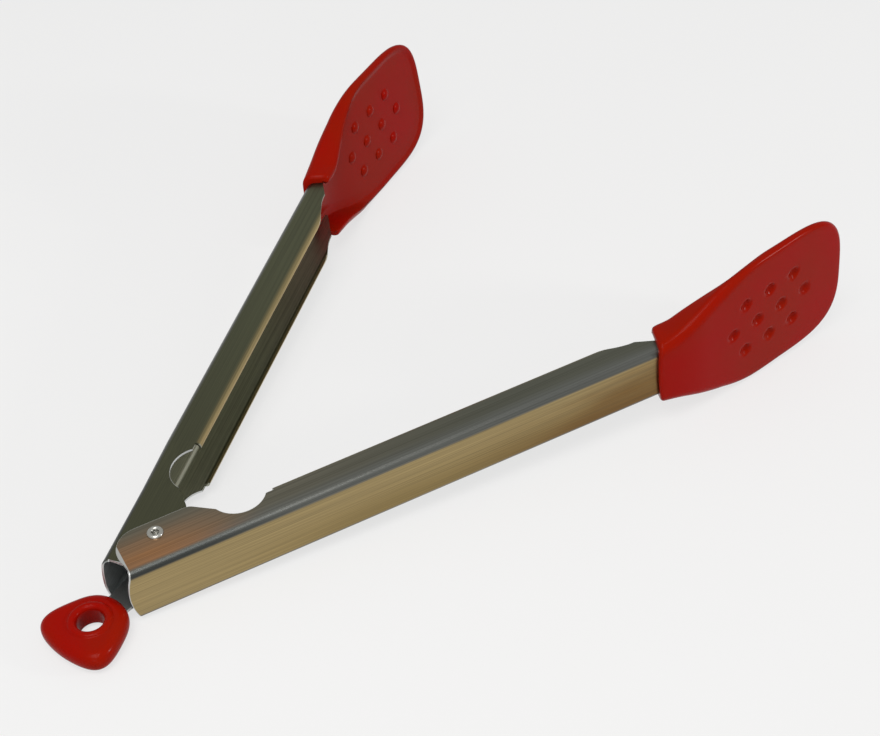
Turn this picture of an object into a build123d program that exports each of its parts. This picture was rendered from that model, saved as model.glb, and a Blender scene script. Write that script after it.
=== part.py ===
from build123d import *
import os
from math import atan, ceil, cos, pi, radians, sin, sqrt, tan

# Spring loaded kitchen tongs, open and lying on their side, in millimetres.
# The origin is the centre of the hanging hole. X runs along the bisector of the arms
# towards the tips, and Z is parallel to the pivot. The arms mirror each other about X.
# Sizes of an arm are measured in its own frame: along the arm from the pivot, and
# across it from the pivot line, towards the other arm where positive.

# Pressed steel arms
opening_angle = 46.0
sheet = 0.8
channel_width = 22.6
wall_drop = 14.3
edge_drop = 0.8
bend_radius = 3.0
curl_radius = 2.0

# Ears round the pivot, and the dip in front of them
ear_edge = 5.8
ear_rear = 15.3
ear_rear_drop = 5.0
ear_front = 14.5
ear_rear_round = 9.5
ear_front_round = 5.0
ear_play = 0.1
dip_start = 22.5
dip_middle = 30.5
dip_end = 40.5
dip_depth = 7.2
hook_place = 43.5
jog_start = 20.0
jog_end = 43.0

# Rear end of the back wall, a shallow rounded tongue
tongue_rear = 16.8
tongue_root = 14.2

# Front end of the flanges, which narrow in a wave, and the steel core in the tip
wave_start = 168.0
wave_end = 188.0
wave_drop = 4.6
nose_end = 200.0
nose_drop = 10.4
tip_bend_place = 205.0
tip_bend_angle = 13.0
core_end = 220.0

# Silicone tips
tip_start = 192.5
tip_mouth_slant = 2.5
tip_end = 283.6
tip_widest = 252.0
tip_half_width = 28.0
tip_shoulder = 215.0
tip_shoulder_half_width = 20.0
tip_flank = 234.0
tip_flank_half_width = 26.8
tip_corner = 278.2
tip_corner_half_width = 22.6
tip_skin = 1.8
tip_cheek = 1.9
cheek_drop = 3.5
rim_straight = 232.0
rim_width = 3.6
rim_height = 0.8
tip_floor_at_end = 2.2

# Bumps on the tips: rows of three, four and three
bump_start = 227.0
bump_pitch = 12.4
bump_row_step = 11.2
bump_radius = 2.6
bump_height = 1.1
bump_root = 0.3
bump_row_counts = (3, 4, 3)

# Pivot rivet and the bush round it
shank_radius = 2.0
rivet_bore_radius = 1.2
rivet_bore_depth = 1.6
head_radius = 3.0
head_height = 0.9
rivet_fit = 0.03
running_fit = 0.05
bush_radius = 3.1
bush_collar_radius = 5.0
bush_end_play = 0.1

# Torsion spring
wire_diameter = 1.3
coil_radius = 5.2
coil_turns = 4
coil_pitch = 2.1
leg_splay = 20.0
leg_foot = 9.0
leg_bend_radius = 5.0
leg_gap = 0.3
coil_gap = 0.35
measure_steps = 360

# Lock plate and its pull tab
lock_drop = 5.5
lock_travel = 10.0
plate_thickness = 1.2
neck_half_width = 4.9
waist_half_width = 6.2
plate_waist = 9.0
shoulder_rear = 5.0
shoulder_half_width = 10.6
shoulder_front = 2.0
plate_half_width = 12.0
plate_nose_half_width = 8.0
plate_nose_round = 4.0
plate_web = 3.2
slot_clearance = 0.2
plate_grip = 4.0
hang_reach = 34.3
hang_radius = 4.9
hang_rim_radius = 6.6
hang_rim_bead = 1.7
hang_rim_sunk = 0.6
tab_gap = 0.4
tab_nose = 12.75
tab_cheek = 9.0
tab_waist_half_width = 13.9
tab_corner = 8.8
tab_corner_half_width = 15.3
tab_haunch = 12.8
tab_haunch_half_width = 11.5
tab_rear = 14.7
tab_thickness = 8.0
tab_round = 3.6

# Places worked out from the sizes above
half_angle = opening_angle / 2
pivot = Vector(hang_reach, 0, lock_drop)
outer_plane = Plane(
    origin=pivot,
    x_dir=(cos(radians(half_angle)), -sin(radians(half_angle)), 0),
    z_dir=(0, 0, 1),
)
inner_plane = Plane(
    origin=pivot,
    x_dir=(cos(radians(half_angle)), sin(radians(half_angle)), 0),
    z_dir=(0, 0, -1),
)
lock_plane = Plane(origin=(hang_reach, 0, 0))
nested_width = channel_width - 2 * (sheet + ear_play)
inner_room = nested_width - 2 * sheet
rear_reach = (
    tongue_rear * cos(radians(half_angle)) + wall_drop * sin(radians(half_angle))
)
tip_slope = tan(radians(tip_bend_angle))
half_bend_slope = tan(radians(tip_bend_angle / 2))
tip_back = -wall_drop - tip_skin
tip_floor = -wall_drop + sheet + tip_skin
tip_back_bend = tip_bend_place + tip_skin * half_bend_slope
tip_floor_bend = tip_bend_place - (sheet + tip_skin) * half_bend_slope
tip_back_at_end = tip_back + (tip_end - tip_back_bend) * tip_slope
tip_floor_top_at_end = tip_back_at_end + tip_floor_at_end
tip_floor_slope = (tip_floor_top_at_end - tip_floor) / (tip_end - tip_floor_bend)
tip_base_half_width = channel_width / 2 + tip_cheek
margin = 5.0


# Planes square to an arm: across it, and facing its back wall
def across(plane, along):
    place = plane.from_local_coords((along, 0, 0))
    return Plane(origin=place, x_dir=plane.y_dir, z_dir=plane.x_dir)


def facing_back(plane, height=0.0):
    place = plane.from_local_coords((0, height, 0))
    return Plane(origin=place, x_dir=plane.x_dir, z_dir=-plane.y_dir)


# Section of a channel, with flat flanges or with the free edges curled inwards
def flat_section(plane, width):
    depth = wall_drop + ear_edge + margin
    with BuildSketch(plane) as section:
        with Locations((depth / 2 - wall_drop, 0)):
            Rectangle(depth, width)
        fillet(section.vertices().group_by(Axis.X)[0], bend_radius)
        offset(section.faces(), -sheet, mode=Mode.SUBTRACT)
        with Locations((depth - wall_drop, 0)):
            Rectangle(2 * margin, width - 2 * sheet, mode=Mode.SUBTRACT)
    return section.sketch


def curled_section(plane):
    depth = wall_drop - edge_drop
    with BuildSketch(plane) as section:
        with Locations((-wall_drop + depth / 2, 0)):
            Rectangle(depth, channel_width)
        fillet(section.vertices().group_by(Axis.X)[0], bend_radius)
        fillet(section.vertices().group_by(Axis.X)[-1], curl_radius)
        offset(section.faces(), -sheet, mode=Mode.SUBTRACT)
        with Locations((-edge_drop, 0)):
            Rectangle(2 * curl_radius, channel_width - 2 * curl_radius, mode=Mode.SUBTRACT)
    return section.sketch


# Pressed arm: ear stretch, jog, handle with curled edges, and the core in the tip
def pressed_arm(plane, rear_width, hole_radius):
    curl_start = -edge_drop - curl_radius
    bend_line = -wall_drop + bend_radius
    below = -wall_drop - margin
    core_reach = (core_end - tip_bend_place) * tip_slope
    core_side = (sheet * sin(radians(tip_bend_angle)), sheet * cos(radians(tip_bend_angle)))
    with BuildPart() as arm:
        rear_section = flat_section(across(plane, -tongue_rear), rear_width)
        extrude(rear_section, tongue_rear + jog_start)
        loft([
            flat_section(across(plane, jog_start), rear_width).face(),
            flat_section(across(plane, jog_end), channel_width).face(),
        ])
        extrude(flat_section(across(plane, jog_end), channel_width), hook_place - jog_end)
        extrude(curled_section(across(plane, hook_place)), nose_end - hook_place)

        # Outline of the flanges seen along the pivot
        with BuildSketch(plane):
            with BuildLine():
                rear = Polyline(
                    (-tongue_rear, below),
                    (-tongue_rear, bend_line),
                    (-tongue_root, bend_line),
                    (-ear_rear, -ear_rear_drop),
                )
                ear = FilletPolyline(
                    rear @ 1,
                    (-ear_rear, ear_edge),
                    (ear_front, ear_edge),
                    (dip_start, -edge_drop),
                    radius=(ear_rear_round, ear_front_round),
                )
                dip = ThreePointArc(ear @ 1, (dip_middle, -dip_depth), (dip_end, curl_start))
                edge = Polyline(
                    dip @ 1,
                    (hook_place, curl_start),
                    (hook_place, -edge_drop),
                    (wave_start, -edge_drop),
                )
                wave = Spline(
                    edge @ 1,
                    (wave_end, -wave_drop),
                    tangents=((1, 0), (1, 0)),
                )
                Polyline(
                    wave @ 1,
                    (nose_end, -nose_drop),
                    (nose_end, below),
                    rear @ 0,
                )
            make_face()
        extrude(amount=channel_width, both=True, mode=Mode.INTERSECT)

        # Rounded rear end of the back wall
        with BuildSketch(facing_back(plane, bend_line)):
            with BuildLine():
                tongue = ThreePointArc(
                    (-tongue_root, -rear_width / 2),
                    (-tongue_rear, 0),
                    (-tongue_root, rear_width / 2),
                )
                Polyline(
                    tongue @ 1,
                    (-tongue_root, rear_width),
                    (-tongue_rear - margin, rear_width),
                    (-tongue_rear - margin, -rear_width),
                    (-tongue_root, -rear_width),
                    tongue @ 0,
                )
            make_face()
        extrude(amount=bend_radius + margin, mode=Mode.SUBTRACT)

        # Core: the back wall runs on into the tip and bends with it
        with BuildSketch(plane):
            with BuildLine():
                Polyline(
                    (nose_end - bend_radius, -wall_drop),
                    (tip_bend_place, -wall_drop),
                    (core_end, -wall_drop + core_reach),
                    (core_end - core_side[0], -wall_drop + core_reach + core_side[1]),
                    (tip_bend_place - sheet * half_bend_slope, -wall_drop + sheet),
                    (nose_end - bend_radius, -wall_drop + sheet),
                    close=True,
                )
            make_face()
        extrude(amount=channel_width / 2 - bend_radius, both=True)

        # Pivot holes through both ears
        with BuildSketch(plane):
            Circle(hole_radius)
        extrude(amount=channel_width, both=True, mode=Mode.SUBTRACT)
    return arm.part


# Outline of a tip, facing its back
def tip_outline(plane, inset):
    corner_inset = inset * sqrt(0.5)
    with BuildSketch(plane) as outline:
        with BuildLine():
            side = Spline(
                (tip_start - inset, tip_base_half_width - inset),
                (tip_shoulder, tip_shoulder_half_width - inset),
                (tip_flank, tip_flank_half_width - inset),
                (tip_widest, tip_half_width - inset),
                tangents=((1, 0), (1, 0)),
            )
            end = Spline(
                side @ 1,
                (tip_corner - corner_inset, tip_corner_half_width - corner_inset),
                (tip_end - inset, 0),
                tangents=((1, 0), (0, -1)),
            )
            base = Line(end @ 1, (tip_start - inset, 0))
            Line(base @ 1, side @ 0)
        make_face()
        mirror(about=Plane.XZ)
    return outline.sketch


# Height of a tip's inner floor, past its bend
def tip_floor_at(along):
    return tip_floor + (along - tip_floor_bend) * tip_floor_slope


# Places of the bumps, along and across a tip
def bump_places():
    places = []
    middle_count = max(bump_row_counts)
    for row, count in enumerate(bump_row_counts):
        across_tip = (row - (len(bump_row_counts) - 1) / 2) * bump_row_step
        first = bump_start + (middle_count - count) * bump_pitch / 2
        places += [(first + step * bump_pitch, across_tip) for step in range(count)]
    return places


# Silicone tip: a shallow tray moulded over the steel, dimpled behind each bump
def moulded_tip(plane, arm):
    ball_radius = (bump_radius**2 + bump_height**2) / (2 * bump_height)
    floor_slant = atan(tip_floor_slope)
    back_slant = radians(tip_bend_angle)
    bump_spots = []
    dimple_spots = []
    for along, across_tip in bump_places():
        floor = tip_floor_at(along)
        back = tip_back + (along - tip_back_bend) * tip_slope
        sunk = ball_radius - bump_height
        bump_spots.append(plane.from_local_coords((
            along + sunk * sin(floor_slant),
            floor - sunk * cos(floor_slant),
            across_tip,
        )))
        dimple_spots.append(plane.from_local_coords((
            along + sunk * sin(back_slant),
            back - sunk * cos(back_slant),
            across_tip,
        )))

    with BuildPart() as hollow:
        with BuildSketch(plane):
            with BuildLine():
                Polyline(
                    (tip_start - margin, tip_floor),
                    (tip_floor_bend, tip_floor),
                    (tip_end, tip_floor_top_at_end),
                    (tip_end, wall_drop + margin),
                    (tip_start - margin, wall_drop + margin),
                    close=True,
                )
            make_face()
        extrude(amount=2 * tip_half_width, both=True)
        extrude(
            tip_outline(facing_back(plane), rim_width),
            2 * wall_drop,
            both=True,
            mode=Mode.INTERSECT,
        )

    with BuildPart() as bumps:
        with Locations(bump_spots):
            Sphere(ball_radius)
        add(hollow.part.moved(Location(plane.y_dir * -bump_root)), mode=Mode.INTERSECT)

    with BuildPart() as tip:
        with BuildSketch(plane):
            with BuildLine():
                back_line = Polyline(
                    (tip_start + tip_mouth_slant, -cheek_drop),
                    (tip_start, tip_back),
                    (tip_back_bend, tip_back),
                    (tip_end, tip_back_at_end),
                    (tip_end, tip_floor_top_at_end + rim_height),
                )
                rim = Line(back_line @ 1, (rim_straight, tip_floor_at(rim_straight) + rim_height))
                Spline(
                    rim @ 1,
                    back_line @ 0,
                    tangents=((-1, -tip_floor_slope), (-1, -tip_floor_slope)),
                )
            make_face()
        extrude(amount=2 * tip_half_width, both=True)
        extrude(
            tip_outline(facing_back(plane), 0),
            2 * wall_drop,
            both=True,
            mode=Mode.INTERSECT,
        )
        add(hollow.part, mode=Mode.SUBTRACT)
        add(arm, mode=Mode.SUBTRACT)
        with Locations(dimple_spots):
            Sphere(ball_radius, mode=Mode.SUBTRACT)
        add(bumps.part)
    return tip.part


# Tubular rivet with a rolled head at each end
def tubular_rivet(plane):
    half_grip = channel_width / 2
    with BuildPart() as rivet:
        with BuildSketch(Plane(origin=plane.origin, x_dir=plane.x_dir, z_dir=-plane.y_dir)):
            with BuildLine():
                lower = Polyline(
                    (rivet_bore_radius, half_grip - rivet_bore_depth),
                    (0, half_grip - rivet_bore_depth),
                    (0, 0),
                    (shank_radius, 0),
                    (shank_radius, half_grip),
                    (head_radius, half_grip),
                )
                head = ThreePointArc(
                    lower @ 1,
                    ((head_radius + rivet_bore_radius) / 2, half_grip + head_height),
                    (rivet_bore_radius, half_grip),
                )
                Line(head @ 1, lower @ 0)
            make_face()
            mirror(about=Plane.XZ)
        revolve(axis=Axis(plane.origin, plane.z_dir))
    return rivet.part


# Stepped bush: a collar under the lock plate and a hub through its slot and the coil
def stepped_bush(plane):
    half_length = inner_room / 2 - bush_end_play
    collar_length = half_length - lock_drop - plate_thickness / 2 - bush_end_play
    with BuildPart() as bush:
        with BuildSketch(plane.offset(-half_length)):
            Circle(bush_radius)
        extrude(amount=2 * half_length)
        with BuildSketch(plane.offset(-half_length)):
            Circle(bush_collar_radius)
        extrude(amount=collar_length)
        with BuildSketch(plane.offset(-half_length)):
            Circle(shank_radius + running_fit)
        extrude(amount=2 * half_length, mode=Mode.SUBTRACT)
    return bush.part


# Height of the winding above its first turn, eased over a quarter turn at each end
def winding_height(turned, whole):
    ease = pi / 2
    if turned < ease:
        risen = turned**2 / (2 * ease)
    elif turned > whole - ease:
        risen = whole - ease - (whole - turned) ** 2 / (2 * ease)
    else:
        risen = turned - ease / 2
    slope = min(1, turned / ease, (whole - turned) / ease)
    return risen * coil_pitch / (2 * pi), slope * coil_pitch / (2 * pi)


# Torsion spring: one wire, from a foot on one arm round the coil to a foot on the other
def torsion_spring():
    leg_angle = radians(half_angle + leg_splay)
    splay = radians(leg_splay)
    wall_line = wall_drop - sheet - leg_gap - wire_diameter / 2
    leg_length = (wall_line - coil_radius * cos(splay)) / sin(splay)
    first_height = plate_thickness / 2 - lock_drop + coil_gap + wire_diameter / 2
    start_angle = -leg_angle - pi / 2
    whole = 2 * pi * coil_turns + pi - 2 * leg_angle
    steps = ceil(whole / (pi / 2))

    def winding(turned):
        angle = start_angle - turned
        height, slope = winding_height(turned, whole)
        arm_of_turn = Vector(coil_radius * cos(angle), coil_radius * sin(angle), 0)
        place = pivot + arm_of_turn + Vector(0, 0, first_height + height)
        way = Vector(coil_radius * sin(angle), -coil_radius * cos(angle), slope)
        return place, way.normalized()

    def leg(from_coil, side):
        way = Vector(cos(leg_angle), side * sin(leg_angle), 0)
        along_arm = Vector(cos(radians(half_angle)), side * sin(radians(half_angle)), 0)
        heel = from_coil + way * leg_length
        return heel, heel + along_arm * leg_foot

    stations = [winding(whole * step / steps) for step in range(steps + 1)]
    first_heel, first_toe = leg(stations[0][0], -1)
    last_heel, last_toe = leg(stations[-1][0], 1)
    with BuildPart() as spring:
        with BuildLine() as wire:
            FilletPolyline(first_toe, first_heel, stations[0][0], radius=leg_bend_radius)
            for (start, start_way), (end, end_way) in zip(stations, stations[1:]):
                chord = end - start
                ways = start_way + end_way
                turn = 2 * (1 - start_way.dot(end_way))
                reach = sqrt(chord.dot(ways) ** 2 + turn * chord.dot(chord)) - chord.dot(ways)
                reach = reach / turn
                middle = (start + start_way * reach + end - end_way * reach) / 2
                middle_way = end - end_way * reach - start - start_way * reach
                TangentArc(start, middle, tangent=start_way)
                TangentArc(middle, end, tangent=middle_way)
            FilletPolyline(stations[-1][0], last_heel, last_toe, radius=leg_bend_radius)
        path = wire.wires()[0]
        with BuildSketch(Plane(origin=path @ 0, z_dir=path % 0)):
            Circle(wire_diameter / 2)
        sweep(path=path)

    # Least gap between neighbouring turns, measured on points of the wire's line
    places = [winding(whole * step / measure_steps)[0] for step in range(measure_steps + 1)]
    half_turn_steps = round(measure_steps * pi / whole)
    least = min(
        (place - other).length
        for step, place in enumerate(places)
        for other in places[step + half_turn_steps:]
    )
    print("least gap between turns", round(least - wire_diameter, 3), "mm")
    return spring.part


# Lock plate: a wedge with a slot for the bush, and a neck that the tab grips
def lock_wedge(plane):
    slot_half_width = bush_radius + slot_clearance
    slot_front = lock_travel + slot_half_width
    plate_front = slot_front + plate_web
    plate_rear = rear_reach + tab_gap + plate_grip
    with BuildPart() as plate:
        with BuildSketch(plane) as outline:
            with BuildLine():
                flank = Polyline(
                    (-plate_rear, neck_half_width),
                    (-rear_reach, neck_half_width),
                    (-plate_waist, waist_half_width),
                    (-shoulder_rear, shoulder_half_width),
                    (shoulder_front, plate_half_width),
                    (plate_front, plate_nose_half_width),
                    (plate_front, 0),
                )
                Line(flank @ 1, (-plate_rear, 0))
                Line((-plate_rear, 0), flank @ 0)
            make_face()
            mirror(about=Plane.XZ)
            fillet(outline.vertices().group_by(Axis.X)[-1], plate_nose_round)
            with Locations((lock_travel / 2, 0)):
                SlotOverall(lock_travel + 2 * slot_half_width, 2 * slot_half_width, mode=Mode.SUBTRACT)
        extrude(amount=plate_thickness / 2, both=True)
    return plate.part


# Pull tab: a pillow-shaped triangle moulded round the plate's neck
def moulded_tab(plate):
    side = [
        (tab_cheek, tab_cheek),
        (0, tab_waist_half_width),
        (-tab_corner, tab_corner_half_width),
        (-tab_haunch, tab_haunch_half_width),
    ]
    other_side = [(along, -across_tab) for along, across_tab in reversed(side)]
    with BuildPart() as tab:
        with BuildSketch(Plane.XY):
            with BuildLine():
                Spline((tab_nose, 0), *side, (-tab_rear, 0), *other_side, periodic=True)
            make_face()
        extrude(amount=tab_thickness / 2, both=True)
        flat_faces = tab.faces().filter_by(Axis.Z)
        fillet(flat_faces.edges(), tab_round)

        # Hanging hole with a rounded bead round each rim
        bead_height = tab_thickness / 2 - hang_rim_sunk
        for height in (-bead_height, bead_height):
            with BuildSketch(Plane.XZ):
                with Locations((hang_rim_radius, height)):
                    Circle(hang_rim_bead)
            revolve(axis=Axis.Z)
        with BuildSketch(Plane.XY):
            Circle(hang_radius)
        extrude(amount=tab_thickness, both=True, mode=Mode.SUBTRACT)
        add(plate, mode=Mode.SUBTRACT)
    return tab.part


outer_arm = pressed_arm(outer_plane, channel_width, shank_radius + rivet_fit)
inner_arm = pressed_arm(inner_plane, nested_width, shank_radius + running_fit)
lock_plate = lock_wedge(lock_plane)
pieces = {
    "outer_arm": outer_arm,
    "inner_arm": inner_arm,
    "outer_tip": moulded_tip(outer_plane, outer_arm),
    "inner_tip": moulded_tip(inner_plane, inner_arm),
    "pivot_rivet": tubular_rivet(outer_plane),
    "spring_bush": stepped_bush(outer_plane),
    "torsion_spring": torsion_spring(),
    "lock_plate": lock_plate,
    "pull_tab": moulded_tab(lock_plate),
}

os.makedirs("parts", exist_ok=True)
for name, piece in pieces.items():
    piece.label = name
    export_step(piece, f"parts/{name}.step")
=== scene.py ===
# %% [markdown]
# # Spring loaded kitchen tongs
# The steel arms, rivet, bush and lock plate come from the CAD model as they are and only get
# their finishes here. The soft silicone and the wound spring are made again as meshes, because
# a moulded edge and a round wire look better as smooth surfaces than as CAD facets.

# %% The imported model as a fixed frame
from collections import namedtuple
from math import cos, pi, radians, sin, sqrt

import bmesh
import bpy
from mathutils import Matrix, Vector


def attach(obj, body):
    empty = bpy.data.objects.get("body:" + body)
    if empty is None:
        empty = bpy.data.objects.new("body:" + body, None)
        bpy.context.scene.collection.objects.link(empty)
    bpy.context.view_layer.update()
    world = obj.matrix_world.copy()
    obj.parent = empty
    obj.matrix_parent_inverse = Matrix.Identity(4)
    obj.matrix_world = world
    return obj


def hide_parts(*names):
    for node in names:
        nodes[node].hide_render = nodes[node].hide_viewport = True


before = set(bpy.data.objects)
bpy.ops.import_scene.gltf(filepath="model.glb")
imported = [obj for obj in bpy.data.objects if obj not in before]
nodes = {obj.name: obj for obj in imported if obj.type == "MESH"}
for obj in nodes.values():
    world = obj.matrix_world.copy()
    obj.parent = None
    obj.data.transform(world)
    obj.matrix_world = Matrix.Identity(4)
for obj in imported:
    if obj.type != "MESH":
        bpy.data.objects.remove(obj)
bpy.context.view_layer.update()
print("CAD nodes:", sorted(nodes))

# %% [markdown]
# Each arm has its own frame: x runs along the arm from the pivot, y points to the other arm, and
# z lies across it. Sizes below are in millimetres in that frame, as a maker would measure them,
# and one matrix for each arm turns them into the metres of the shared frame.

# %% Frames of the two arms
MM = 0.001
PIVOT = Vector((34.3, 0, 5.5)) * MM
HALF_ANGLE = radians(23)


def arm_frame(side):
    along = Vector((cos(HALF_ANGLE), side * sin(HALF_ANGLE), 0))
    inward = Vector((sin(HALF_ANGLE), -side * cos(HALF_ANGLE), 0))
    turned = Matrix((along, inward, along.cross(inward))).transposed().to_4x4()
    return Matrix.Translation(PIVOT) @ turned @ Matrix.Scale(MM, 4)


def placed_object(name, data):
    made = bpy.data.objects.new(name, data)
    bpy.context.scene.collection.objects.link(made)
    return made


ARM_FRAMES = {"outer": arm_frame(-1), "inner": arm_frame(1)}
print("pivot at", [round(value, 4) for value in PIVOT])

# %% [markdown]
# Finishes are written as sums on sockets. A small class holds a socket and turns the signs
# + - * / into Math nodes, so that a scratch mask reads like the formula it is. One method adds
# any other node: its type, its settings and what goes into its sockets.


# %% Sockets that can be added and multiplied
class Socket:
    def __init__(self, tree, socket):
        self.tree = tree
        self.socket = socket

    def node(self, kind, settings=None, sockets=None, output=0):
        made = self.tree.nodes.new(kind)
        for name, value in (settings or {}).items():
            setattr(made, name, value)
        for name, value in (sockets or {}).items():
            if isinstance(value, Socket):
                self.tree.links.new(value.socket, made.inputs[name])
            else:
                made.inputs[name].default_value = value
        return Socket(self.tree, made.outputs[output])

    def maths(self, operation, first, second):
        return self.node("ShaderNodeMath", {"operation": operation}, {0: first, 1: second})

    def __add__(self, other):
        return self.maths("ADD", self, other)

    def __radd__(self, other):
        return self.maths("ADD", other, self)

    def __sub__(self, other):
        return self.maths("SUBTRACT", self, other)

    def __rsub__(self, other):
        return self.maths("SUBTRACT", other, self)

    def __mul__(self, other):
        return self.maths("MULTIPLY", self, other)

    def __rmul__(self, other):
        return self.maths("MULTIPLY", other, self)

    def __truediv__(self, other):
        return self.maths("DIVIDE", self, other)

    def clamped(self, low, high):
        return self.node(
            "ShaderNodeMapRange",
            {"clamp": True, "interpolation_type": "SMOOTHSTEP"},
            {"Value": self, "From Min": low, "From Max": high},
        )

    def mixed(self, first, second):
        colours = [
            value if isinstance(value, Socket) else (*value, 1) for value in (first, second)
        ]
        return self.node(
            "ShaderNodeMix",
            {"data_type": "RGBA"},
            {"Factor": self, 6: colours[0], 7: colours[1]},
            output=2,
        )

    def noise(self, place, scale, detail):
        return self.node(
            "ShaderNodeTexNoise",
            {"noise_dimensions": "3D"},
            {"Vector": place, "Scale": scale, "Detail": detail},
        )


def new_finish(name):
    material = bpy.data.materials.new(name)
    material.use_nodes = True
    tree = material.node_tree
    shader = tree.nodes["Principled BSDF"]
    coordinates = tree.nodes.new("ShaderNodeTexCoord")
    return material, shader, Socket(tree, coordinates.outputs["Object"])


def feed(shader, name, value):
    value.tree.links.new(value.socket, shader.inputs[name])


def add_bump(shader, height, strength, distance):
    bump = height.node(
        "ShaderNodeBump",
        None,
        {"Height": height, "Strength": strength, "Distance": distance},
    )
    feed(shader, "Normal", bump)


print("socket class ready")

# %% [markdown]
# The arms are stainless steel, brushed along their length after pressing. Brushing shows as long
# fine lines, so a noise is stretched along each arm: a Mapping node first turns the pattern to the
# arm's direction. The same turned coordinates say which part of the sheet a point is on. Most
# colour
# there is painted reflection: warm tan on the back wall, browner in patches towards the tip end,
# dark grey on the flanges, beige on the curled edges and a painted copper glint beside the rivet.

# %% Colours of the steel
# Painted reflection on the flanges: dark grey, darker on the inner arm, one tone at the ears and
# one further along.
OUTER_FLANGE_REFLECTION = (0.14, 0.143, 0.118)
OUTER_REAR_REFLECTION = (0.195, 0.183, 0.145)
INNER_FLANGE_REFLECTION = (0.118, 0.124, 0.077)
INNER_REAR_REFLECTION = (0.097, 0.10, 0.063)
# Painted reflections on the bend: slate above it, and below it a dark band near the pivot that
# turns lighter further along.
BEND_SLATE_REFLECTION = (0.19, 0.197, 0.19)
BEND_REFLECTION = (0.15, 0.155, 0.15)
BEND_DARK_REFLECTION = (0.065, 0.07, 0.07)
# Painted warm reflection on the back wall, darker along its lower side, browner in patches towards
# the tip end.
TAN_WALL_REFLECTION = (0.405, 0.305, 0.142)
LOW_WALL_REFLECTION = (0.315, 0.225, 0.088)
TIPWARD_BROWN = (0.21, 0.115, 0.035)
# Painted copper glint beside the rivet, on the outer arm.
COPPER_GLINT = (0.57, 0.25, 0.09)
# Painted beige reflection on the curled edge.
CURL_REFLECTION = (0.54, 0.41, 0.20)
# Painted light inside the channel, browner towards the tip end, and a pale grey painted light
# inside the rear end.
INSIDE_PAINTED_LIGHT = (0.435, 0.44, 0.355)
INSIDE_BROWN_PAINTED_LIGHT = (0.39, 0.35, 0.29)
CAVE_PAINTED_LIGHT = (0.30, 0.335, 0.34)
# Painted highlight along the cut edges.
CUT_EDGE_HIGHLIGHT = (0.60, 0.61, 0.61)
DARK_LINE = (0.04, 0.04, 0.032)
print("steel colours ready")

# %% [markdown]
# A mask needs to know where on the sheet a point lies. Along, height and across are that place in
# millimetres. The free edges were cut by the press and carry a painted highlight: the rounded ear,
# the dip in front of it and the bowed end of the tongue each have a thin bright painted line.

# %% Places on the pressed sheet
EAR_CENTRE = (-5.8, -3.7)
EAR_ROUND = 9.5
EAR_SLANT = 0.175
EAR_LOW = -5.0
EAR_FOOT = (-12.0, -11.5)
DIP_CENTRE = (32.0, 2.9)
DIP_ROUND = 10.2
TONGUE_REAR = -16.8
TONGUE_BOW = 0.0204
EDGE_WIDTH = 0.15


def positive(value):
    return value.maths("MAXIMUM", value, 0.0)


def distance(first, second):
    squares = first * first + second * second
    return squares.maths("POWER", squares, 0.5)


def from_pivot(place):
    return place.node(
        "ShaderNodeVectorMath", {"operation": "SUBTRACT"}, {0: place, 1: tuple(PIVOT)}
    )


def sheet_place(turned, inward):
    return [
        turned.node("ShaderNodeSeparateXYZ", None, {0: turned}, output=axis) * (sign / MM)
        for axis, sign in enumerate((1, inward, inward))
    ]


# Mask of the painted highlight along the ear, the dip and the tongue's end.
def cut_edge_highlights(along, height, across):
    back = positive(EAR_CENTRE[0] - along + EAR_SLANT * positive(EAR_LOW - height))
    ear = distance(back, positive(height - EAR_CENTRE[1]))
    ear = ear.clamped(EAR_ROUND - EDGE_WIDTH, EAR_ROUND) * height.clamped(*EAR_FOOT)
    dip = distance(along - DIP_CENTRE[0], height - DIP_CENTRE[1])
    dip = 1 - dip.clamped(DIP_ROUND, DIP_ROUND + EDGE_WIDTH)
    tongue = TONGUE_REAR + TONGUE_BOW * across * across - along
    tongue = tongue.clamped(-2 * EDGE_WIDTH, -EDGE_WIDTH)
    return (ear + dip + tongue).clamped(0, 1)


print("width of a bright cut edge:", EDGE_WIDTH, "mm")

# %% [markdown]
# The tones are mixed one over the other. Each pair of numbers is where a soft change begins and
# ends on the sheet. The back wall's painted warm reflection darkens and browns along its lower side
# and turns browner in patches towards the tip end. The flange's painted reflection goes from the
# tone at the ears to the tone further along, with a painted slate reflection by the bend, a painted
# copper glint beside the rivet and a painted beige reflection on the curled edge.

# %% Tones of the wall and the flanges
LOW_WALL_ACROSS = (-8, 7)
LOW_WALL_ALONG = (-10, 90)
TIPWARD_ALONG = (80, 195)
TIPWARD_EVEN = 0.15
TIPWARD_PATCHES = 0.4
TIPWARD_LOW = 0.6
REAR_TO_FLANGE = (10, 150)
SLATE_BAND = (-13, -7)
GLINT_FOOT = (-12.4, -10.8)
GLINT_HEAD = (-9, 6)
GLINT_ALONG = (-6, 40)
GLINT_EVEN = 0.65
GLINT_PATCHES = 0.35
HANDLE_FROM = (43.6, 44.4)
CURL_BAND = (-3.2, -0.2)
LESS_CURL_REFLECTION = 0.65


# The back wall's painted warm reflection: darker and browner along its lower side, browner in
# patches towards the tip end.
def wall_reflection_tone(along, across, stains_and_sheen):
    lower = (1 - across.clamped(*LOW_WALL_ACROSS)) * along.clamped(*LOW_WALL_ALONG)
    walls = lower.mixed(TAN_WALL_REFLECTION, LOW_WALL_REFLECTION)
    patches = TIPWARD_EVEN + TIPWARD_PATCHES * stains_and_sheen + TIPWARD_LOW * lower
    tipward = along.clamped(*TIPWARD_ALONG) * patches
    return tipward.clamped(0, 1).mixed(walls, TIPWARD_BROWN)


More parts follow.
